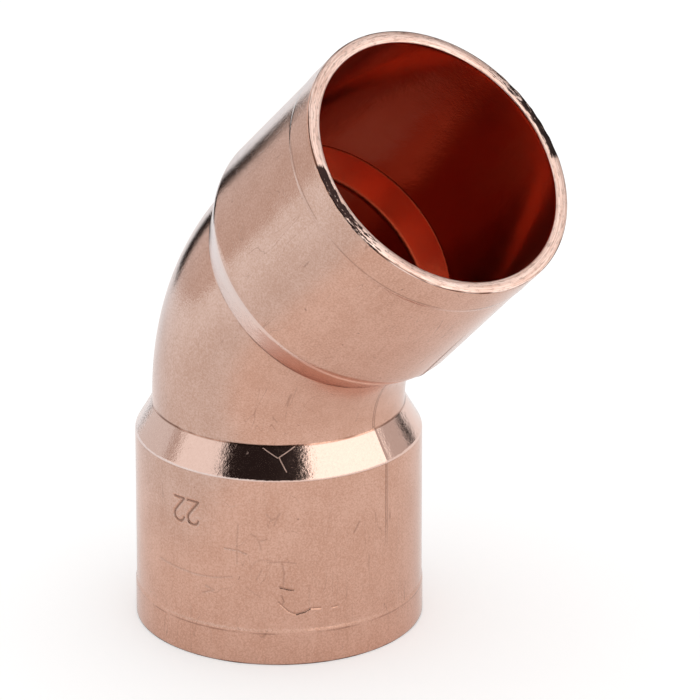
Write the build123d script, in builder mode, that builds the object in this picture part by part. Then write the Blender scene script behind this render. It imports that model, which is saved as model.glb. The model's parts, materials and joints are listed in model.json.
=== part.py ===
"""Forty-five degree copper elbow with a solder socket at each end.

The fitting is one length of copper tube: bent through 45 degrees in the middle
and opened out at both ends into sockets that a pipe pushes into. Both sockets
are alike, so one section of the wall is drawn at each mouth and turned about
that socket's own axis.

Frame: +Z up. The origin is the centre of the lower socket's mouth, in the plane
that the fitting stands on. The upper socket leans towards +X.
"""

from build123d import *
import math
import os

os.makedirs("parts", exist_ok=True)

# Driving dimensions, in millimetres and degrees
pipe_diameter = 22.0  # outside of the pipe that each socket takes
solder_gap = 0.05  # between pipe and socket, on the radius
wall = 1.0  # copper all round
bend_angle = 45.0  # change of direction from one socket to the other
throat_radius = 6.3  # inside of the bend, on the outer surface
bend_draw = 0.4  # how far the bent tube lies inside the pipe's own outside
socket_depth = 16.7  # mouth to pipe stop
shoulder_length = 2.5  # cone between socket and bent tube
shoulder_round = 0.9  # soft corners at both ends of the cone
neck_length = 0.3  # straight run between cone and bend
band_length = 2.9  # the band at the mouth that is sized last
band_rise = 0.07  # how far that band stands proud of the socket
band_slope = 0.45  # run-out from the band to the socket
edge_break = 0.12  # burr taken off both edges of the mouth

# Worked out from them
socket_bore = pipe_diameter / 2 + solder_gap
socket_outside = socket_bore + wall
bend_outside = pipe_diameter / 2 - bend_draw
bend_bore = bend_outside - wall
bend_radius = throat_radius + bend_outside
shoulder_end = socket_depth + shoulder_length
bend_start = shoulder_end + neck_length
leg = bend_start + bend_radius * math.tan(math.radians(bend_angle / 2))

# The two axes cross one leg above the lower mouth, and the upper mouth lies one
# leg further on. In a mouth's plane X runs outwards and Y runs into the socket.
turn = math.radians(bend_angle)
way_out = Vector(math.sin(turn), 0, math.cos(turn))
lower_mouth = Plane.XZ
upper_mouth = Plane(
    origin=Vector(0, 0, leg) + way_out * leg,
    x_dir=(math.cos(turn), 0, -math.sin(turn)),
    z_dir=(0, 1, 0),
)

with BuildPart() as elbow:
    # Bent tube, turned about a line along Y that is level with its start
    with BuildSketch(Plane.XY.offset(bend_start)):
        Circle(bend_outside)
        Circle(bend_bore, mode=Mode.SUBTRACT)
    revolve(
        axis=Axis((bend_radius, 0, bend_start), (0, 1, 0)),
        revolution_arc=bend_angle,
    )

    # Socket, cone and neck at each end
    for mouth in (lower_mouth, upper_mouth):
        with BuildSketch(mouth) as section:
            with BuildLine():
                Polyline(
                    (socket_bore, 0),
                    (socket_outside + band_rise, 0),
                    (socket_outside + band_rise, band_length),
                    (socket_outside, band_length + band_slope),
                    (socket_outside, socket_depth),
                    (bend_outside, shoulder_end),
                    (bend_outside, bend_start),
                    (bend_bore, bend_start),
                    (bend_bore, shoulder_end),
                    (socket_bore, socket_depth),
                    close=True,
                )
            make_face()
            corners = section.vertices()
            fillet(corners.filter_by_position(Axis.Y, 0, 0), edge_break)
            corners = section.vertices()
            fillet(
                corners.filter_by_position(Axis.Y, socket_depth, shoulder_end),
                shoulder_round,
            )
        revolve(axis=Axis(mouth.origin, mouth.y_dir))

elbow.part.label = "elbow"
export_step(elbow.part, "parts/elbow.step")
print(f"leg, mouth to where the axes cross: {leg:.2f} mm")
print(f"centreline radius of the bend: {bend_radius:.2f} mm")
print(f"copper: {elbow.part.volume:.0f} cubic mm")
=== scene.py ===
# %% [markdown]
# # A forty-five degree copper elbow
#
# This is a solder fitting for 22 mm copper pipe. A short piece of tube is bent
# through 45 degrees, and each end is pressed open into a socket that the pipe
# slides into. The scene loads the engineering model as a fixed frame, models
# the same copper wall again with finer faces, gives it its finishes, and
# lights it like a small studio photograph.

# %% Load the frame
import json
import math

import bmesh
import bpy
from mathutils import Matrix, Vector
from mathutils.geometry import intersect_point_line
from mathutils.noise import noise


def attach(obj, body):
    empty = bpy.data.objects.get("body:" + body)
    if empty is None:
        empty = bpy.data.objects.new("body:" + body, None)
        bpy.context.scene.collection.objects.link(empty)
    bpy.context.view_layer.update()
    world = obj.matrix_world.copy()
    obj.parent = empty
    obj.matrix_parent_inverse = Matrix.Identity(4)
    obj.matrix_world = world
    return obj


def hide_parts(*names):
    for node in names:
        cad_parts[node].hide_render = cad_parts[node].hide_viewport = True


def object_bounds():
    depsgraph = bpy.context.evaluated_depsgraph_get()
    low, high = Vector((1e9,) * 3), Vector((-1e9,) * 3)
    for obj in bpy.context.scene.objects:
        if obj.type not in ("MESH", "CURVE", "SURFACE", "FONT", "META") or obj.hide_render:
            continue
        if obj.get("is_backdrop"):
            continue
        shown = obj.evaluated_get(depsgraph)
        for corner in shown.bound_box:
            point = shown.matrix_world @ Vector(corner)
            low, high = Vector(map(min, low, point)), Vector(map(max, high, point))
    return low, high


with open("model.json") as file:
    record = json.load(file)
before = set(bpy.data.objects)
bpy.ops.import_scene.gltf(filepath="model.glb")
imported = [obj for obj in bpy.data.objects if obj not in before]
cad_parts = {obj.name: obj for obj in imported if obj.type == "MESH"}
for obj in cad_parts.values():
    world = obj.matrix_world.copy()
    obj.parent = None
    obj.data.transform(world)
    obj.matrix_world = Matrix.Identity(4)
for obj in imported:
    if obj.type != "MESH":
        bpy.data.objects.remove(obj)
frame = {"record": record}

cad_low, cad_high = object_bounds()
print("frame box", [round(v * 1000, 2) for v in (*cad_low, *cad_high)])

# %% [markdown]
# ## Sizes of the real fitting
#
# The sizes that other parts depend on, such as the bore and the depth of a
# socket, are read from the frame's mounts, so the model always fits the
# engineering one. The small ones are what a caliper shows on such a fitting:
# the band at the mouth, the cone behind the socket and the broken edges. The
# two ends are alike but for one thing. On the photographed fitting the upper
# cone starts a little nearer its mouth, with a softer corner, so that corner
# has two values of its own.

# %% Read the sockets, name the rest
MM = 0.001
NEAR = 1e-7  # metres: points closer than this are the same point
mounts = {m["name"]: m for m in frame["record"]["mounts"]}
lower, upper = mounts["lower_socket"], mounts["upper_socket"]

socket_bore = lower["dims"]["r_mm"] * MM
socket_depth = lower["dims"]["length_mm"] * MM
way_out = Vector(upper["axis"]).normalized()
turn = way_out.angle(Vector((0, 0, 1)))
leg = upper["pos_m"][2] / (1 + way_out.z)

band_outside = cad_high.y
band_rise = 0.07 * MM
band_length = 2.9 * MM
band_slope = 0.45 * MM
socket_outside = band_outside - band_rise
wall = socket_outside - socket_bore
bend_outside = 10.6 * MM
bend_bore = bend_outside - wall
shoulder_length = 2.5 * MM
neck_length = 0.3 * MM
shoulder_round = 0.6 * MM
upper_shoulder_round = 3.0 * MM
upper_shoulder_early = 0.8 * MM
crease_round = 0.35 * MM
throat_round = 1.8 * MM
edge_break = 0.12 * MM

shoulder_end = socket_depth + shoulder_length
bend_start = shoulder_end + neck_length
bend_radius = (leg - bend_start) / math.tan(turn / 2)
bend_length = bend_radius * turn
tube_length = 2 * bend_start + bend_length
print(f"leg {leg / MM:.2f} mm, bend radius {bend_radius / MM:.2f} mm")
print(f"straight tube {tube_length / MM:.2f} mm, wall {wall / MM:.2f} mm")

# %% [markdown]
# ## The camera
#
# The photograph looks down at the fitting from its front right corner with a
# long lens, so that the open socket faces the camera. A camera can be placed
# by hand or worked out. Here it is given as the photographer would: an azimuth
# and an elevation round the fitting, a distance, and a lens that fills the
# 700 by 700 frame.

# %% Place the camera
PICTURE = 700
view_azimuth = math.radians(45.3)
view_elevation = math.radians(22.0)
view_distance = 0.572
focal_pixels = 6876
look_at = Vector((5.97, 2.51, 24.42)) * MM


def toward(azimuth, elevation):
    """Unit vector from the fitting to a place on the sphere round it."""
    return Vector((
        math.sin(azimuth) * math.cos(elevation),
        -math.cos(azimuth) * math.cos(elevation),
        math.sin(elevation),
    ))


camera_data = bpy.data.cameras.new("camera")
camera_data.sensor_width = 36
camera_data.lens = focal_pixels / PICTURE * camera_data.sensor_width
camera_data.clip_start = 0.01
camera = bpy.data.objects.new("camera", camera_data)
bpy.context.scene.collection.objects.link(camera)
camera_back = toward(view_azimuth, view_elevation)
camera.location = look_at + camera_back * view_distance
camera.rotation_mode = "QUATERNION"
camera.rotation_quaternion = (-camera_back).to_track_quat("-Z", "Y")
bpy.context.scene.camera = camera
print(f"lens {camera_data.lens:.0f} mm at {view_distance:.2f} m")

# %% [markdown]
# ## The tube before it is bent
#
# The real fitting starts as a straight tube, so the model does too. Its wall is
# drawn once as a flat section and spun about the tube's axis. A section could
# also be swept along the finished path, but on a straight tube every ring is
# level, and it is easy to cut more rings, raise the die lines and press the
# size number before the bend makes all of that awkward.

# %% Draw the section of the wall
slope_ease = 0.1 * band_rise


def half_section(is_upper):
    """Corners of one end's wall, from neck to mouth outside and back inside.

    Two of them ease the slope behind the band into a soft S. At the upper end
    heights count down from the top of the tube.
    """
    early = upper_shoulder_early if is_upper else 0
    corners = [
        (bend_outside, bend_start),
        (bend_outside, shoulder_end),
        (socket_outside, socket_depth - early),
        (socket_outside, band_length + band_slope),
        (socket_outside + slope_ease, band_length + 0.65 * band_slope),
        (band_outside - slope_ease, band_length + 0.3 * band_slope),
        (band_outside, band_length),
        (band_outside, 0),
        (socket_bore, 0),
        (socket_bore, socket_depth),
        (bend_bore, shoulder_end),
        (bend_bore, bend_start),
    ]
    if is_upper:
        corners = [(r, tube_length - s) for r, s in reversed(corners)]
    return corners


tube = bmesh.new()
ring = [tube.verts.new((r, 0, s)) for r, s in half_section(False) + half_section(True)]
tube.faces.new(ring)
print("section corners", len(ring))


# %% Soften its corners
def above_mouth(height):
    """Distance along the straight tube from the nearer mouth."""
    return min(height, tube_length - height)


def corners_at(height, radii):
    """Section corners at a height above a mouth and at given radii."""
    return [
        v for v in tube.verts
        if abs(above_mouth(v.co.z) - height) < NEAR
        and any(abs(v.co.x - r) < NEAR for r in radii)
    ]


def soften(verts, radius, segments, corner):
    """Rounds corners to a radius, where the section turns by the corner angle."""
    bmesh.ops.bevel(
        tube,
        geom=verts,
        offset=radius * math.tan(corner / 2),
        offset_type="OFFSET",
        segments=segments,
        profile=0.5,
        affect="VERTICES",
        material=-1,
    )


flare = socket_outside - bend_outside
cone_slope = math.atan2(flare, shoulder_length)
upper_slope = math.atan2(flare, shoulder_length + upper_shoulder_early)
round_reach = shoulder_round * math.tan(cone_slope / 2)
crease_reach = crease_round * math.tan(cone_slope / 2)
upper_start = socket_depth - upper_shoulder_early
soften(corners_at(0, [band_outside, socket_bore]), edge_break, 3, math.pi / 2)
soften(corners_at(socket_depth, [socket_bore]), shoulder_round, 3, cone_slope)
soften(corners_at(socket_depth, [socket_outside]), shoulder_round, 4, cone_slope)
soften(corners_at(upper_start, [socket_outside]), upper_shoulder_round, 10, upper_slope)
soften(corners_at(shoulder_end, [bend_outside]), crease_round, 3, cone_slope)
soften(corners_at(shoulder_end, [bend_bore]), throat_round, 5, cone_slope)
bmesh.ops.delete(tube, geom=list(tube.faces), context="FACES_ONLY")
print("section points", len(tube.verts))

# %% Spin it into a tube
STEPS = 192
column = 2 * math.pi / STEPS
bmesh.ops.spin(
    tube,
    geom=[*tube.verts, *tube.edges],
    cent=(0, 0, 0),
    axis=(0, 0, 1),
    angle=2 * math.pi,
    steps=STEPS,
    use_merge=True,
)
bmesh.ops.remove_doubles(tube, verts=tube.verts, dist=NEAR)
bmesh.ops.recalc_face_normals(tube, faces=tube.faces)
print("spun faces", len(tube.faces))

# %% [markdown]
# ### Rings
#
# The bend needs many short rings to look round, and a flat wall needs one ring
# close to each of its corners, so that smooth shading stays flat up to there.
# A subdivision surface would add rings everywhere. Cutting the tube with level
# planes puts them only where they are wanted.

# %% Cut more rings
BEND_RINGS = 26
ring_beside = 0.35 * MM
ring_below_cone = 2.1 * MM
cut_tolerance = 1e-8


def cut_ring(height, faces=None):
    """Cuts the tube, or only some of its faces, at a height."""
    faces = list(faces or tube.faces)
    edges = {e for f in faces for e in f.edges}
    verts = {v for f in faces for v in f.verts}
    bmesh.ops.bisect_plane(
        tube,
        geom=[*verts, *edges, *faces],
        dist=cut_tolerance,
        plane_co=(0, 0, height),
        plane_no=(0, 0, 1),
    )


for i in range(1, BEND_RINGS):
    cut_ring(bend_start + bend_length * i / BEND_RINGS)
for height in (
    edge_break + ring_beside,
    band_length - ring_beside,
    band_length + band_slope + ring_beside,
    socket_depth - ring_below_cone,
):
    cut_ring(height)
    cut_ring(tube_length - height)
print("faces with rings", len(tube.faces))

# %% [markdown]
# ## The die lines
#
# Each socket is pressed between two half dies, and the copper creeps into the
# joint between them. That leaves a hair of a ridge along the socket and over
# the cone, on both sides. A bump map could draw it, but a real ridge also shows
# in the mesh, so one column of edges is bevelled into a narrow strip and the
# middle of the strip is pulled out by a few hundredths of a millimetre.

# %% Raise the die lines
die_column = 2
die_width = 0.12 * MM
die_rise = 0.06 * MM
die_fades = (8 * MM, 12 * MM)
near_angle = 1e-5


def around(co):
    """Angle of a point about the straight tube, from the side the bend leans to."""
    return math.atan2(co.y, co.x)


def between(value, low, high):
    """Smooth step from 0 at low to 1 at high."""
    t = min(max((value - low) / (high - low), 0), 1)
    return t * t * (3 - 2 * t)


def on_die_line(v):
    """Whether a point is on the outside of the wall, in the joint of the dies."""
    height = above_mouth(v.co.z)
    outside = v.co.xy.length > bend_outside - NEAR
    in_reach = die_fades[0] - NEAR < height < bend_start - NEAR
    off_line = (around(v.co) - die_column * column) % math.pi
    return outside and in_reach and min(off_line, math.pi - off_line) < near_angle


def runs_up(edge):
    """Whether an edge runs along the straight tube, not round it."""
    return abs(edge.verts[0].co.z - edge.verts[1].co.z) > NEAR


cut_ring(die_fades[0])
cut_ring(tube_length - die_fades[0])
bmesh.ops.bevel(
    tube,
    geom=[e for e in tube.edges if runs_up(e) and all(on_die_line(v) for v in e.verts)],
    offset=die_width,
    offset_type="OFFSET",
    segments=2,
    profile=0.5,
    affect="EDGES",
    material=-1,
)
ridge = [v for v in tube.verts if on_die_line(v)]
for v in ridge:
    rise = die_rise * between(above_mouth(v.co.z), *die_fades)
    v.co.xy *= 1 + rise / v.co.xy.length
print("die line points", len(ridge))

# %% [markdown]
# ## The size number and the scratches
#
# The pipe size, 22, is struck into the side of the lower socket with a round
# nosed punch, its top towards the mouth, and the copper beside it has picked up
# scratches. Letters can be made from a text object and cut out, but a punched
# figure is one soft groove of even width, and so is a scratch. So the side of
# the socket is divided finely, and each of its points sinks by how close it
# lies to a stroke. A stroke is a path of a few points, each an angle in degrees
# round the socket and a height in millimetres above its mouth.

# %% Divide the side of the socket
patch_around = (math.radians(-101), math.radians(-9))
patch_height = (4.3 * MM, 15.0 * MM)
patch_cuts = 5
row = socket_outside * column
groove = tube.verts.layers.float.new("groove")


def patch_faces(low, high):
    """Outer faces within the patch's angles and between two heights."""
    found = []
    for f in tube.faces:
        middle = f.calc_center_median()
        inside = patch_around[0] < around(middle) < patch_around[1]
        outer = middle.xy.length > socket_bore + wall / 2
        if inside and outer and low < middle.z < high:
            found.append(f)
    return found


patch_rows = round((patch_height[1] - patch_height[0]) / row)
for i in range(patch_rows + 1):
    cut_ring(patch_height[0] + row * i, patch_faces(0, socket_depth))
patch_top = patch_height[0] + row * patch_rows
bmesh.ops.subdivide_edges(
    tube,
    edges=list({e for f in patch_faces(patch_height[0], patch_top) for e in f.edges}),
    cuts=patch_cuts,
    use_grid_fill=True,
)
patch_points = {v for f in patch_faces(patch_height[0], patch_top) for v in f.verts}
for v in patch_points:
    if not on_die_line(v):
        v.co.xy *= socket_outside / v.co.xy.length
print("patch points", len(patch_points))

# %% Draw the figures
figure_height = 2.1 * MM
figure_width = 1.1 * MM
figure_gap = 0.4 * MM
mark_angle = math.radians(-84)
mark_height = 12.8 * MM
hook_start, hook_end, hook_steps = math.radians(165), math.radians(-35), 10


def figure_two(centre):
    """Points along the stroke of a 2, from its tip round to the end of its foot."""
    radius = figure_width / 2
    base = centre + Vector((0, -figure_height / 2))
    bow = base + Vector((0, figure_height - radius))
    points = []
    for i in range(hook_steps + 1):
        t = hook_start + (hook_end - hook_start) * i / hook_steps
        points.append(bow + radius * Vector((math.cos(t), math.sin(t))))
    return points + [base + Vector((-radius, 0)), base + Vector((radius, 0))]


middle = Vector((mark_angle * socket_outside, mark_height))
step = (figure_width + figure_gap) / 2
figures = [
    [middle - point for point in figure_two(Vector((side * step, 0)))] for side in (-1, 1)
]
print("points in a figure", len(figures[0]))

# %% Draw the scratches
scratches = {
    "cross, upright": (0.5, [(-60.5, 12.6), (-61, 10.8), (-61, 9.1)]),
    "cross, level": (0.6, [(-66, 10.3), (-60.5, 10.2), (-57, 10)]),
    "bow": (0.4, [(-55.5, 11.8), (-53, 11.5), (-51.6, 10.9), (-51.5, 10.4)]),
    "bow's branch": (0.5, [(-52, 11.2), (-49, 11.4)]),
    "loop": (0.35, [(-55.5, 8.7), (-53.5, 9.3), (-51, 9.5), (-47.5, 9.5)]),
    "level line": (0.5, [(-48.5, 9.3), (-43, 9.35), (-37.5, 9.2)]),
    "drop": (0.6, [(-43, 9.3), (-42.2, 8.3), (-42.5, 7.3)]),
    "lean": (0.5, [(-51, 8.6), (-53, 7.7)]),
    "foot": (0.9, [(-44, 7.1), (-38.5, 6.8)]),
    "knot": (1.0, [(-43.2, 6.3), (-42.3, 5.8), (-43, 5.5)]),
    "wave": (1.0, [(-44.5, 5.7), (-40.5, 4.95), (-37.5, 4.6), (-34, 4.8), (-31.5, 5.1), (-27.5, 5)]),
    "dash": (0.8, [(-23, 4.9), (-20.5, 4.95)]),
    "slant": (0.35, [(-57, 6.9), (-51.5, 6.1)]),
    "upright": (0.3, [(-32.5, 7.1), (-32, 5.4)]),
    "nick": (0.9, [(-13, 11.2), (-10.5, 12.1)]),
    "rough spot": (0.5, [(-49, 13.6), (-47, 13.2), (-45, 13.3), (-43.5, 13.8), (-46, 12.7)]),
    "tool edge": (0.4, [(-99.5, 7.6), (-88, 7.45), (-79, 7.4), (-70.5, 7.5), (-63, 7.8)]),
    "small arrow": (0.5, [(-74.5, 6.6), (-71, 6.3), (-76, 5.9)]),
}
figure_reach = 0.17 * MM
scratch_reach = 0.13 * MM
scratch_share = 0.6


def on_side(degrees, height):
    """A flat point on the unrolled side, from an angle and a height in mm."""
    return Vector((math.radians(degrees) * socket_outside, height * MM))


strokes = [(1, figure_reach, path) for path in figures]
for share, path in scratches.values():
    strokes.append((share * scratch_share, scratch_reach, [on_side(*point) for point in path]))
print("strokes", len(strokes))

# %% Press them in
groove_depth = 0.08 * MM
lip_rise = 0.012 * MM
lip_foot, lip_top, lip_end = 0.8, 1.3, 2.4  # in reaches of the stroke
wander = 0.05 * MM
wander_size = 0.9 * MM


def distance_to(path, point):
    """Shortest distance from a flat point to a path of straight runs."""
    shortest = math.inf
    for a, b in zip(path, path[1:]):
        foot, share = intersect_point_line(point, a, b)
        foot = a if share < 0 else b if share > 1 else foot
        shortest = min(shortest, (point - foot.xy).length)
    return shortest


def box_of(path, margin):
    """Lowest and highest flat corner of a path, with a margin round it."""
    low = Vector((min(p.x for p in path), min(p.y for p in path)))
    high = Vector((max(p.x for p in path), max(p.y for p in path)))
    return low - Vector((margin, margin)), high + Vector((margin, margin))


boxes = [box_of(path, reach * lip_end) for share, reach, path in strokes]
for v in patch_points:
    flat = Vector((around(v.co) * socket_outside, v.co.z))
    depth = lip = 0
    for (share, reach, path), (low, high) in zip(strokes, boxes):
        if not (low.x < flat.x < high.x and low.y < flat.y < high.y):
            continue
        drift = noise(Vector((*flat, 0)) / wander_size) * wander if share < 1 else 0
        gap = distance_to(path, flat + Vector((drift, drift)))
        depth = max(depth, share * (1 - between(gap, 0, reach)))
        lip_outside = 1 - between(gap, reach * lip_top, reach * lip_end)
        lip = max(lip, share * between(gap, reach * lip_foot, reach * lip_top) * lip_outside)
    v[groove] = depth
    v.co.xy *= 1 - (groove_depth * depth - lip_rise * lip * (1 - depth)) / socket_outside
print("deepest point", round(max(v[groove] for v in patch_points), 2))

# %% [markdown]
# ## The torn rim
#
# The mouths are cut last. On two opposite sides of the upper rim the cutter
# dragged and tore the outer edge. A colour alone would leave the outline
# perfect, so the edge's points there also sink by an uneven few hundredths of a
# millimetre. Before that, each point keeps its place on the straight tube as an
# attribute, which later tells the finishes where they are, also past the bend.

# %% Note each point's place, then tear the rim
straight = tube.verts.layers.float_vector.new("straight")
for v in tube.verts:
    v[straight] = v.co

tear_start, tear_length = math.radians(-105), math.radians(55)
tear_onset = 0.06
tear_hold = 0.4
tear_depth = 0.14 * MM
ripples_per_radian = 9
ripples_per_metre = 900


def tear_at(v):
    """How far a point of the torn edge sinks."""
    past = (around(v.co) - tear_start) % math.pi
    torn = between(past, 0, tear_onset) * (1 - between(past, tear_length * tear_hold, tear_length))
    ripple = noise(Vector((past * ripples_per_radian, v.co.z * ripples_per_metre, 0.5)))
    return tear_depth * torn * abs(ripple)


rim_edge = [
    v for v in tube.verts
    if tube_length - v.co.z < edge_break + NEAR and v.co.xy.length > socket_bore + wall / 2
]
for v in rim_edge:
    v.co.z -= tear_at(v)
print("points on the edge", len(rim_edge))

# %% [markdown]
# ## From tube to elbow
#
# Each face gets the finish that its tool left: satin outside, burnished on the
# cones, cut at the rims, and darker inside. It is easy to sort the faces by
# height and side while the tube is straight. Then every ring is laid round the
# bend. A curve modifier could bend the tube, but the turn is a plain arc, and a
# rotation for each ring says it exactly.

# %% Note each face's finish
SATIN, BURNISHED, CUT, INSIDE = range(4)


def finish_of(face):
    """The finish of a face on the straight tube."""
    middle = face.calc_center_median()
    height = above_mouth(middle.z)
    is_upper = middle.z > tube_length / 2
    cone_start = upper_start if is_upper else socket_depth - round_reach
    if height < edge_break:
        return CUT
    if face.normal.x * middle.x + face.normal.y * middle.y < 0:
        return INSIDE
    if cone_start < height < shoulder_end - crease_reach:
        return BURNISHED
    return SATIN


for face in tube.faces:
    face.material_index = finish_of(face)
for name, finish in (("satin", SATIN), ("burnished", BURNISHED), ("cut", CUT), ("inside", INSIDE)):
    print(name, "faces", sum(f.material_index == finish for f in tube.faces))


# %% Bend it, as the bending machine does
def bend(bm):
    """Lays the straight tube round the bend, ring by ring."""
    centre = Vector((bend_radius, 0, bend_start))
    for v in bm.verts:
        past = min(max(v.co.z - bend_start, 0), bend_length)
        if past > 0:
            v.co.z -= past
            spin = Matrix.Rotation(past / bend_radius, 3, "Y")
            v.co = centre + spin @ (v.co - centre)


bend(tube)
mesh = bpy.data.meshes.new("copper_elbow")
tube.to_mesh(mesh)
print("elbow triangles", len(tube.calc_loop_triangles()))
tube.free()
mesh.shade_smooth()
elbow = bpy.data.objects.new("copper_elbow", mesh)
bpy.context.scene.collection.objects.link(elbow)
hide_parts("elbow")
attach(elbow, "root")

# %% [markdown]
# ## What every copper surface shares
#
# Drawn copper is never quite even. Its tone drifts in clouds and in faint
# streaks along the tube, and it has a fine grain, a few hairlines and here and
# there a pit. All four finishes need these, each in its own strength, so they
# are one node group that gives masks and a height. The heights are in
# micrometres, which keeps the numbers readable. Every pattern reads the place
# on the straight tube, in millimetres, so it bends with the copper.

# %% Small helpers for node trees
def add_node(tree, kind, inputs=(), **settings):
    """Adds a shader node, sets it up, and fills or links its inputs."""
    made = tree.nodes.new("ShaderNode" + kind)
    for name, value in settings.items():
        setattr(made, name, value)
    for name, value in dict(inputs).items():
        if isinstance(value, bpy.types.NodeSocket):
            tree.links.new(value, made.inputs[name])
        else:
            made.inputs[name].default_value = value
    return made


def maths(tree, operation, *values, clamp=False):
    """A Math node on one to three values, and its result."""
    made = add_node(tree, "Math", dict(enumerate(values)), operation=operation, use_clamp=clamp)
    return made.outputs[0]


def vector_maths(tree, operation, *values, output="Vector"):
    """A Vector Math node on one to three vectors, and one of its results."""
    made = add_node(tree, "VectorMath", dict(enumerate(values)), operation=operation)
    return made.outputs[output]


def smooth(tree, value, low, high):
    """Smooth step of a value from 0 at low to 1 at high."""
    made = add_node(
        tree,
        "MapRange",
        {"Value": value, "From Min": low, "From Max": high},
        interpolation_type="SMOOTHSTEP",
    )
    return made.outputs["Result"]


def weighted(tree, *shares, start=0):
    """Sum of several masks, each times its weight, on top of a start."""
    total = start
    for mask, weight in shares:
        total = maths(tree, "MULTIPLY_ADD", mask, weight, total)
    return total


def noise_at(tree, vector, **sockets):
    """A Noise Texture's value, with its other sockets given by name."""
    inputs = {name.title(): value for name, value in sockets.items()}
    return add_node(tree, "TexNoise", {"Vector": vector, **inputs}).outputs["Fac"]


helpers = (add_node, maths, vector_maths, smooth, weighted, noise_at)
print("helpers", [helper.__name__ for helper in helpers])


# %% How a node group starts and ends
def start_group(name, inputs, outputs):
    """A new shader node group with named sockets, and its two end nodes."""
    group = bpy.data.node_groups.new(name, "ShaderNodeTree")
    for label, kind, value in inputs:
        socket = group.interface.new_socket(label, in_out="INPUT", socket_type="NodeSocket" + kind)
        socket.default_value = value
    for label, kind in outputs:
        group.interface.new_socket(label, in_out="OUTPUT", socket_type="NodeSocket" + kind)
    return group, group.nodes.new("NodeGroupInput"), group.nodes.new("NodeGroupOutput")


def put_out(group, end, values):
    """Links values to a group's outputs by name."""
    for label, value in values.items():
        group.links.new(value, end.inputs[label])
    print(group.name, "has", len(group.nodes), "nodes and gives", list(values))


# %% Where a point is on the tube
place, _, place_out = start_group(
    "place_on_tube",
    [],
    [
        ("Place", "Vector"),
        ("Around", "Float"),
        ("Radius", "Float"),
        ("From Mouth", "Float"),
        ("Upper End", "Float"),
    ],
)
note = add_node(place, "Attribute", attribute_name="straight", attribute_type="GEOMETRY")
in_mm = vector_maths(place, "MULTIPLY", note.outputs["Vector"], (1 / MM,) * 3)
x, y, z = add_node(place, "SeparateXYZ", {0: in_mm}).outputs
radius_squared = maths(place, "MULTIPLY_ADD", x, x, maths(place, "MULTIPLY", y, y))
from_top = maths(place, "SUBTRACT", tube_length / MM, z)
put_out(place, place_out, {
    "Place": in_mm,
    "Around": maths(place, "ARCTAN2", y, x),
    "Radius": maths(place, "SQRT", radius_squared),
    "From Mouth": maths(place, "MINIMUM", z, from_top),
    "Upper End": maths(place, "GREATER_THAN", z, tube_length / 2 / MM),
})

# %% Clouds, grain and streaks
wear, wear_in, wear_out = start_group(
    "drawn_copper",
    [
        ("Place", "Vector", (0, 0, 0)),
        ("Grain Size", "Float", 0.3),
        ("Wave Height", "Float", 12),
        ("Grain Height", "Float", 6),
        ("Line Depth", "Float", 3),
        ("Pit Depth", "Float", 8),
    ],
    [(label, "Float") for label in ("Clouds", "Grain", "Streaks", "Lines", "Pits", "Height")],
)
spot = wear_in.outputs["Place"]


def drawn_out(share):
    """The place with heights shrunk to a share, which stretches a pattern along the tube."""
    return add_node(wear, "Mapping", {"Vector": spot, "Scale": (1, 1, share)}).outputs[0]


clouds = noise_at(wear, spot, scale=0.33, detail=3)
grain_scale = maths(wear, "DIVIDE", 1, wear_in.outputs["Grain Size"])
grain = noise_at(wear, spot, scale=grain_scale, detail=3, roughness=0.6)
streaks = noise_at(wear, drawn_out(0.05), scale=1.8, detail=4)
print("drawn_copper so far has", len(wear.nodes), "nodes")


# %% Hairlines
def hairlines(vector, scale, width, low, high):
    """Thin lines where a noise passes its middle, kept only in a few places."""
    value = noise_at(wear, vector, scale=scale, detail=1)
    off = maths(wear, "ABSOLUTE", maths(wear, "SUBTRACT", value, 0.5))
    kept = smooth(wear, places, low, high)
    return maths(wear, "MULTIPLY", smooth(wear, off, width, 0), kept)


places = noise_at(wear, spot, scale=0.3, detail=2)
lines = maths(
    wear,
    "MAXIMUM",
    hairlines(drawn_out(0.12), 0.9, 0.007, low=0.50, high=0.60),
    hairlines(spot, 0.35, 0.005, low=0.43, high=0.36),
)
print("drawn_copper so far has", len(wear.nodes), "nodes")

# %% Pits, and the height of it all
pit_raggedness = 0.35
pit_growth, pit_rarity = 0.20, 0.09
pit_edge = 0.04
scatter = add_node(wear, "TexNoise", {"Vector": spot, "Scale": 6}).outputs["Color"]
ragged = vector_maths(wear, "MULTIPLY_ADD", scatter, (pit_raggedness,) * 3, spot)
cells = add_node(wear, "TexVoronoi", {"Vector": ragged, "Scale": 0.8})
chance = add_node(wear, "SeparateColor", {0: cells.outputs["Color"]}).outputs[0]
pit_reach = maths(wear, "MULTIPLY_ADD", chance, pit_growth, -pit_rarity)
inside_pit = maths(wear, "SUBTRACT", pit_reach, cells.outputs["Distance"])
pits = smooth(wear, inside_pit, 0, pit_edge)

amounts = wear_in.outputs
raised = weighted(wear, (clouds, amounts["Wave Height"]), (grain, amounts["Grain Height"]))
sunk = weighted(wear, (lines, amounts["Line Depth"]), (pits, amounts["Pit Depth"]))
put_out(wear, wear_out, {
    "Clouds": clouds,
    "Grain": grain,
    "Streaks": streaks,
    "Lines": lines,
    "Pits": pits,
    "Height": maths(wear, "SUBTRACT", raised, sunk),
})

# %% [markdown]
# ## The four finishes
#
# All four are the same metal, so each is a metallic Principled shader. What
# differs is how the last tool left it. A real fitting has no boundary between
# materials, only between tool marks, so one shader with masks would also do.
# Four small ones are easier to read and to tune against a photograph. The
# outer three are darkened with the same brown: oxide where dirt settles, and
# painted shade in creases, grooves and beside the die lines.

# %% A start for each finish
MICRON = 1e-6
# A brown that is real oxide in pits and flecks, and painted shade in creases, grooves and beside the
# die lines
oxide = (0.16, 0.07, 0.045, 1)


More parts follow.
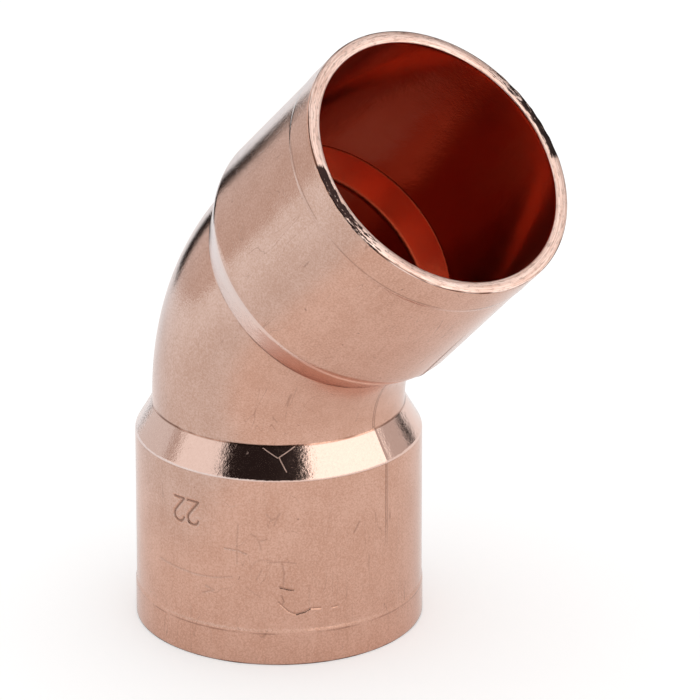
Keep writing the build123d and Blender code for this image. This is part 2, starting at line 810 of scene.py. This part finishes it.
def start_finish(name, **strengths):
    """A material with the shared nodes in it, and the sockets it builds on."""
    material = bpy.data.materials.new(name)
    material.use_nodes = True
    tree = material.node_tree
    shader = tree.nodes["Principled BSDF"]
    shader.inputs["Metallic"].default_value = 1
    where = add_node(tree, "Group", node_tree=place)
    marks = add_node(tree, "Group", node_tree=wear)
    tree.links.new(where.outputs["Place"], marks.inputs["Place"])
    for label, value in strengths.items():
        marks.inputs[label.replace("_", " ").title()].default_value = value
    bump = add_node(tree, "Bump", {"Height": marks.outputs["Height"], "Distance": MICRON})
    tree.links.new(bump.outputs[0], shader.inputs["Normal"])
    mesh.materials.append(material)
    return tree, shader, where.outputs, marks.outputs


def blend(tree, mask, first, second):
    """Colour that goes from first to second with the mask.

    A Mix node has sockets for every data type, and its colours are 6, 7 and 2.
    """
    made = add_node(tree, "Mix", {0: mask, 6: first, 7: second}, data_type="RGBA")
    return made.outputs[2]


def stain(tree, tone, mask, strength):
    """A tone with brown laid over it by a mask, up to a strength: oxide in pits, painted shade in
    creases.
    """
    return blend(tree, maths(tree, "MULTIPLY", mask, strength), tone, oxide)


def line_at(tree, value, middle, width):
    """Mask of a thin line where a value passes its middle."""
    off = maths(tree, "ABSOLUTE", maths(tree, "SUBTRACT", value, middle))
    return smooth(tree, off, width, width * 0.3)


helpers = (start_finish, blend, stain, line_at)
print("helpers", [helper.__name__ for helper in helpers])

# %% [markdown]
# ### Satin outside
#
# Most of the outside was formed by pressure and then pickled, so it is a satin
# pink that looks even from a step away. Close by it is a fine mottle of a light
# and a dark tone of copper. A plain noise could mix the two, but mostly grain,
# with a little of the clouds and streaks, gives both the speckle and the slow
# drift. Pits and hairlines hold a little oxide. The punched figures and the
# scratches, the creases where a tool's edge pressed in and both sides of the die
# lines are darkened with the same brown as painted shade.

# %% Mix the satin finish
copper_pale = (0.72, 0.437, 0.338, 1)
copper_deep = (0.57, 0.31, 0.22, 1)
crease_width = 0.1
joint_offset = 0.1

tree, shader, where, marks = start_finish(
    "satin_copper", grain_size=0.15, wave_height=10, grain_height=9, line_depth=4, pit_depth=8
)
mottle = weighted(
    tree, (marks["Grain"], 0.9), (marks["Clouds"], 0.3), (marks["Streaks"], 0.12)
)
tone = blend(tree, smooth(tree, mottle, 0.45, 0.87), copper_pale, copper_deep)
struck = add_node(tree, "Attribute", attribute_name="groove").outputs["Fac"]
# Pits and hairlines hold real oxide. The grooves of the figures and scratches get painted shade by
# their depth.
for mask, strength in ((marks["Lines"], 0.3), (marks["Pits"], 0.5), (struck, 0.8)):
    tone = stain(tree, tone, mask, strength)
rough = weighted(
    tree, (marks["Clouds"], 0.08), (marks["Grain"], 0.08), (struck, 0.2), start=0.04
)
tree.links.new(rough, shader.inputs["Roughness"])
print("tones of the outside", copper_pale[:3], copper_deep[:3])

# %% Paint shade into its creases and beside its die lines
# Painted shade: thin dark lines along the band's crease and both ends of the cone.
patchy = smooth(tree, marks["Clouds"], 0.35, 0.6)
for crease, strength in (
    (band_length - 0.05 * MM, 0.4),
    (socket_depth - round_reach, 0.2),
    (shoulder_end, 0.8),
):
    line = line_at(tree, where["From Mouth"], crease / MM, crease_width)
    tone = stain(tree, tone, maths(tree, "MULTIPLY", line, patchy), strength)
# Painted shade: a thin dark line on both sides of each die ridge, fading out towards the mouth.
from_line = maths(tree, "SUBTRACT", where["Around"], die_column * column)
off_joint = maths(tree, "PINGPONG", from_line, math.pi / 2)
off_joint = maths(tree, "MULTIPLY", off_joint, where["Radius"])
beside_joint = line_at(tree, off_joint, joint_offset, crease_width)
along_joint = smooth(tree, where["From Mouth"], *(height / MM for height in die_fades))
tone = stain(tree, tone, maths(tree, "MULTIPLY", beside_joint, along_joint), 0.45)
tree.links.new(tone, shader.inputs["Base Color"])
print("satin_copper has", len(tree.nodes), "nodes")

# %% [markdown]
# ### Burnished cones
#
# The tool that forms a cone slides hard over it and polishes it. The cone shows
# the room almost like a mirror, but the grain still breaks up the edge of each
# reflection. Three hairlines cross the front of the lower cone, and in a dark
# reflection they show as thin bright lines. They could be cut into the mesh,
# but they are too shallow to see there, so each is a line of rougher copper
# between two points on the unrolled tube, drawn by a small node group.

# %% A hairline between two points
stroke, stroke_in, stroke_out = start_group(
    "hairline",
    [
        ("Flat", "Vector", (0, 0, 0)),
        ("From", "Vector", (0, 0, 0)),
        ("To", "Vector", (1, 0, 0)),
        ("Width", "Float", 0.1),
    ],
    [("Mask", "Float")],
)
flat, start, end, width = stroke_in.outputs[:4]
from_start = vector_maths(stroke, "SUBTRACT", flat, start)
run = vector_maths(stroke, "SUBTRACT", end, start)
share = maths(
    stroke,
    "DIVIDE",
    vector_maths(stroke, "DOT_PRODUCT", from_start, run, output="Value"),
    vector_maths(stroke, "DOT_PRODUCT", run, run, output="Value"),
    clamp=True,
)
nearest = vector_maths(stroke, "MULTIPLY_ADD", run, share, start)
off = vector_maths(stroke, "DISTANCE", flat, nearest, output="Value")
put_out(stroke, stroke_out, {"Mask": smooth(stroke, off, width, 0)})

# %% Mix the burnished finish
cone_pale = (0.86, 0.62, 0.53, 1)
cone_deep = (0.74, 0.50, 0.42, 1)
hairline_width = 0.07
cone_hairlines = (
    ((-51, 19.0), (-44.5, 18.3)),
    ((-37, 19.1), (-44, 18.35)),
    ((-44, 18.35), (-41, 17.3)),
)

tree, shader, where, marks = start_finish(
    "burnished_copper", grain_size=0.2, wave_height=70, grain_height=14, line_depth=0, pit_depth=5
)
tone = blend(tree, marks["Grain"], cone_pale, cone_deep)
# Painted shade: a dark line along the crease at the top of the cone.
tone = stain(tree, tone, line_at(tree, where["From Mouth"], shoulder_end / MM, 0.16), 0.6)
tree.links.new(tone, shader.inputs["Base Color"])
height_mm = add_node(tree, "SeparateXYZ", {0: where["Place"]}).outputs[2]
round_mm = maths(tree, "MULTIPLY", where["Around"], bend_outside / MM)
unrolled = add_node(tree, "CombineXYZ", {0: round_mm, 1: height_mm}).outputs[0]
crossed = 0
for first, last in cone_hairlines:
    ends = {
        name: (math.radians(degrees) * bend_outside / MM, height, 0)
        for name, (degrees, height) in (("From", first), ("To", last))
    }
    sockets = {"Flat": unrolled, "Width": hairline_width, **ends}
    line = add_node(tree, "Group", sockets, node_tree=stroke)
    crossed = maths(tree, "MAXIMUM", line.outputs[0], crossed)
rough = weighted(tree, (marks["Grain"], 0.12), (crossed, 0.45), start=0.05)
tree.links.new(rough, shader.inputs["Roughness"])
print("burnished_copper has", len(tree.nodes), "nodes")

# %% [markdown]
# ### Cut rims
#
# The rims are the palest copper, with the fine marks of the cutter round them
# and flecks of oxide. The torn stretches of the upper rim are black. Each
# starts sharply and frays out along the rim, and it leaves the inner part of
# the rim clean. A painted mask would do, but the same noise that flecks the rim
# can also fray the black, if a rising threshold is set against it. The rim that
# the fitting stands on is darkened as painted shade where it meets the table.

# %% Mix the cut finish
rim_pale = (0.90, 0.69, 0.61, 1)
rim_deep = (0.70, 0.46, 0.38, 1)

tree, shader, where, marks = start_finish(
    "cut_copper", grain_size=0.12, wave_height=8, grain_height=14, line_depth=3, pit_depth=4
)
shader.inputs["Roughness"].default_value = 0.28


def round_rim(per_radian, per_mm, **sockets):
    """A noise laid round the rim, with its own count of features each way."""
    place_on_rim = add_node(tree, "CombineXYZ", {
        0: maths(tree, "MULTIPLY", where["Around"], per_radian),
        1: maths(tree, "MULTIPLY", where["Radius"], per_mm),
    })
    return noise_at(tree, place_on_rim.outputs[0], scale=1, **sockets)


from_bore = maths(tree, "SUBTRACT", where["Radius"], socket_bore / MM)
share_across = maths(tree, "DIVIDE", from_bore, (band_outside - socket_bore) / MM)
cutter_marks = round_rim(3, 9, detail=3)
flakes = round_rim(14, 5, detail=4, roughness=0.7)
tone = blend(tree, smooth(tree, cutter_marks, 0.35, 0.65), rim_pale, rim_deep)
outer_line = line_at(tree, share_across, 1.0, 0.16)
tone = stain(tree, tone, outer_line, smooth(tree, cutter_marks, 0.45, 0.55))
tone = stain(tree, tone, smooth(tree, flakes, 0.5, 0.62), 0.4)
print("tones of the rims", rim_pale[:3], rim_deep[:3])

# %% Blacken its torn stretches
torn_black = (0.035, 0.02, 0.018, 1)
black_gain, black_loss = 0.16, 0.34
clean_share = 0.65
start_raggedness, inner_raggedness = 0.06, 0.8

from_tear = maths(tree, "SUBTRACT", where["Around"], tear_start)
past_start = maths(tree, "FLOORED_MODULO", from_tear, math.pi)
started = weighted(tree, (flakes, start_raggedness), start=past_start)
started = smooth(tree, started, 0.02, 0.06)
fraying = smooth(tree, past_start, tear_length * 0.15, tear_length * 1.2)
kept = weighted(tree, (fraying, -black_loss), start=maths(tree, "ADD", flakes, black_gain))
inner_limit = maths(tree, "SUBTRACT", share_across, clean_share)
inner_limit = weighted(tree, (flakes, inner_raggedness), start=inner_limit)
torn = where["Upper End"]
for mask in (started, smooth(tree, kept, 0.47, 0.55), smooth(tree, inner_limit, 0, 0.12)):
    torn = maths(tree, "MULTIPLY", torn, mask)
tone = blend(tree, torn, tone, torn_black)
# Painted shade: the rim that the fitting stands on is darkened where it meets the table.
lower_rim = maths(tree, "SUBTRACT", 1, where["Upper End"])
tone = stain(tree, tone, lower_rim, 0.6)
tree.links.new(tone, shader.inputs["Base Color"])
print("cut_copper has", len(tree.nodes), "nodes")

# %% [markdown]
# ### Inside
#
# Light reaches the inside mostly through the upper mouth and comes back after
# several reflections. Each one takes out more green and blue, so the same
# metal looks deep red. It could be painted red, but then it would be red under
# any light. So the copper is only a little redder than outside, and Cycles is
# allowed enough glossy bounces. Past the pipe stop the wall is a darker brown.

# %% Mix the inside finish
bore_pale = (0.97, 0.51, 0.37, 1)
bore_deep = (0.91, 0.43, 0.29, 1)
brown_skin = (0.52, 0.2, 0.13, 1)

tree, shader, where, marks = start_finish(
    "inside_copper", grain_size=0.25, wave_height=24, grain_height=7, line_depth=2, pit_depth=5
)
tone = blend(tree, marks["Clouds"], bore_pale, bore_deep)
stop = socket_depth / MM
past_stop = smooth(tree, where["From Mouth"], stop - crease_reach / MM, stop)
tone = blend(tree, past_stop, tone, brown_skin)
tree.links.new(tone, shader.inputs["Base Color"])
rough = weighted(tree, (marks["Clouds"], 0.12), start=0.12)
tree.links.new(rough, shader.inputs["Roughness"])
bpy.context.scene.cycles.glossy_bounces = 12
print("finishes", [m.name for m in mesh.materials])

# %% [markdown]
# ## The studio
#
# Bare metal shows what is round it, so the room has to be right. Lamps could
# light it, but on a round surface each lamp is a small hot spot. Here a white
# world lights the copper evenly from all sides, and the bright and dark shapes
# come from panels.
#
# The floor is a pale matt sheet. A little light of its own lifts it to white
# for the camera, and it still takes the fitting's shadow. Reflections get less
# of that light, and it is cooler on the camera's left, where the photographed
# sockets have a greyer edge. The disc of floor under the lower socket is lit
# only through copper, so in reflections it is a dull red.

# %% Lay the floor
FLOOR_PAINT = (0.75, 0.75, 0.75, 1)
FLOOR_LIFT = 0.33
FLOOR_SHEEN = 0.22
FLOOR_SHEEN_FAR_LEFT = 0.14
plain_glow = (1, 1, 1, 1)
cool_glow = (0.65, 1.1, 1.4, 1)
copper_glow = (0.35, 0.05, 0.03, 1)
cool_from, cool_full = 0.022, 0.045
far_left_from, far_left_full = 0.05, 0.11


def stage_sheet(name, size_x, size_y):
    """A flat sheet that is part of the studio, not of the fitting."""
    sheet = bpy.data.meshes.new(name)
    bm = bmesh.new()
    bmesh.ops.create_grid(bm, x_segments=1, y_segments=1, size=0.5)
    bmesh.ops.scale(bm, verts=bm.verts, vec=(size_x, size_y, 1))
    bm.to_mesh(sheet)
    bm.free()
    made = bpy.data.objects.new(name, sheet)
    bpy.context.scene.collection.objects.link(made)
    made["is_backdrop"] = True
    return made


floor = stage_sheet("floor", 6, 6)
paint = bpy.data.materials.new("floor_paint")
paint.use_nodes = True
floor.data.materials.append(paint)
tree = paint.node_tree
shader = tree.nodes["Principled BSDF"]
shader.inputs["Base Color"].default_value = FLOOR_PAINT
shader.inputs["Roughness"].default_value = 1
shader.inputs["Specular IOR Level"].default_value = 0
print("floor", [round(v, 2) for v in floor.dimensions])

# %% Give it its light
ray = add_node(tree, "LightPath").outputs
on_floor = add_node(tree, "TexCoord").outputs["Object"]
camera_left = (-math.cos(view_azimuth), -math.sin(view_azimuth), 0)
leftwards = vector_maths(tree, "DOT_PRODUCT", on_floor, camera_left, output="Value")
far_left = smooth(tree, leftwards, far_left_from, far_left_full)
sheen = weighted(tree, (far_left, FLOOR_SHEEN_FAR_LEFT), start=FLOOR_SHEEN)
mirrored = maths(tree, "MULTIPLY", ray["Is Glossy Ray"], sheen)
lift = weighted(tree, (ray["Is Camera Ray"], FLOOR_LIFT), start=mirrored)
tree.links.new(lift, shader.inputs["Emission Strength"])

cool_side = smooth(tree, leftwards, cool_from, cool_full)
cool_side = maths(tree, "MULTIPLY", cool_side, ray["Is Glossy Ray"])
glow = blend(tree, cool_side, plain_glow, cool_glow)
# Painted reflected light: in reflections the floor under the lower socket glows a dull copper red.
from_axis = vector_maths(tree, "LENGTH", on_floor, output="Value")
outside_socket = maths(tree, "GREATER_THAN", from_axis, socket_bore + wall / 2)
glow = blend(tree, outside_socket, copper_glow, glow)
tree.links.new(glow, shader.inputs["Emission Color"])
print("floor_paint has", len(tree.nodes), "nodes")

# %% Fill the room with white
world = bpy.data.worlds.new("studio")
bpy.context.scene.world = world
world.use_nodes = True
background = world.node_tree.nodes["Background"]
background.inputs["Color"].default_value = (1, 1, 1, 1)
background.inputs["Strength"].default_value = 1
bpy.context.scene.view_settings.view_transform = "Standard"
print("world strength", background.inputs["Strength"].default_value)

# %% [markdown]
# ### Panels
#
# Every panel stands where a bright or dark shape in the copper says that
# something stood. A softbox on the right is the white stretch of the lower
# cone, and a black flag at the camera is the dark patch beside it. Duller flags
# and cards at the sides and behind give the curved walls their darker and
# paler edges. Panels of a real studio also shade the floor. These are seen only
# in reflections, so that each can be moved without changing anything else.

# %% Stand the panels round the fitting
BLACK = (0.02, 0.015, 0.015)
DIM = (0.12, 0.1, 0.1)
BROWN = (0.5, 0.42, 0.38)
GREY = (0.6, 0.55, 0.53)
CARD = (0.76, 0.77, 0.78)
WHITE = (1, 0.98, 0.95)


def stand(name, azimuth, elevation, distance, width, height, tone, strength=1):
    """Stands a panel round the fitting, facing it, seen only in reflections.

    The azimuth is measured from the camera, in degrees to its right.
    """
    panel = stage_sheet(name, width, height)
    back = toward(view_azimuth + math.radians(azimuth), math.radians(elevation))
    panel.location = Vector((0, 0, leg)) + back * distance
    panel.rotation_mode = "QUATERNION"
    panel.rotation_quaternion = back.to_track_quat("Z", "Y")
    panel.visible_camera = False
    panel.visible_diffuse = False
    panel.visible_shadow = False
    cloth = bpy.data.materials.new(name)
    cloth.use_nodes = True
    nodes = cloth.node_tree
    glow = add_node(nodes, "Emission", {"Color": (*tone, 1), "Strength": strength})
    nodes.links.new(glow.outputs[0], nodes.nodes["Material Output"].inputs["Surface"])
    panel.data.materials.append(cloth)
    return panel


panels = [
    stand("softbox_right", 57, 26, 0.5, 0.74, 0.62, WHITE, strength=1.65),
    stand("flag_at_camera", -12, 23, 0.45, 0.58, 0.36, BLACK),
    stand("flag_left", -101, 24, 0.5, 0.16, 0.4, BROWN),
    stand("flag_behind", -149, -2, 0.13, 0.03, 0.04, BLACK),
    stand("wall_behind", 165, 28, 0.4, 0.67, 0.39, DIM),
    stand("card_left", -123, 1, 0.15, 0.143, 0.065, CARD),
    stand("flag_right", 110, 8, 0.52, 0.22, 0.2, GREY),
    stand("flag_far_right", 129, 6, 0.5, 0.1, 0.14, BLACK),
]
print("panels", [panel.name for panel in panels])

# %% [markdown]
# ## The size of the finished elbow
#
# The finished elbow has to be as large as the engineering model, because other
# parts are fitted to that one. Both boxes are written down, so that they can be
# compared after each render.

# %% Write both sizes and finish
low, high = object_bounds()
print("visual box", [round(v * 1000, 2) for v in (*low, *high)])
